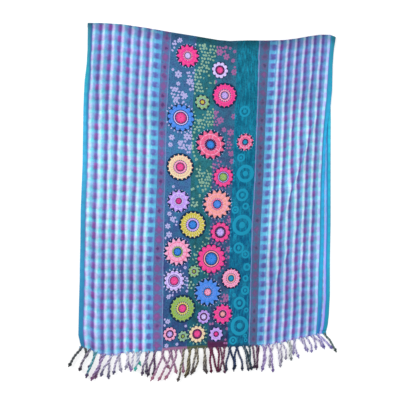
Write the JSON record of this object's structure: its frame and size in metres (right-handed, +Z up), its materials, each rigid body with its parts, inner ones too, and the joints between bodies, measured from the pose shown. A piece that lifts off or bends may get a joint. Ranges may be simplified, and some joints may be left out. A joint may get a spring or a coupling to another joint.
{
  "type": "folded woven stole with tasselled ends",
  "caption": "Woven wool stole folded once across its length and lying flat, with checked side panels, a patterned centre panel and twisted tassels at both ends.",
  "frame": {"origin": "middle of the footprint, on the surface that the folded stole lies on", "axes": "X to the right across the cloth's width as the visible face is seen, Y along its length towards the fold, Z up from the surface it lies on"},
  "size_m": [0.7514, 0.9546, 0.0079],
  "materials": {
    "front_cloth": "soft matt wool with checks and raised embroidery",
    "under_cloth": "soft matt wool with checks",
    "front_tassels": "twisted wool in the colours of the stripes above",
    "back_tassels": "twisted wool in the colours of the stripes above"
  },
  "bodies": {
    "root": {"front_layer": "front_cloth", "under_layer": "under_cloth", "front_fringe": "front_tassels", "back_fringe": "back_tassels"}
  },
  "joints": []
}
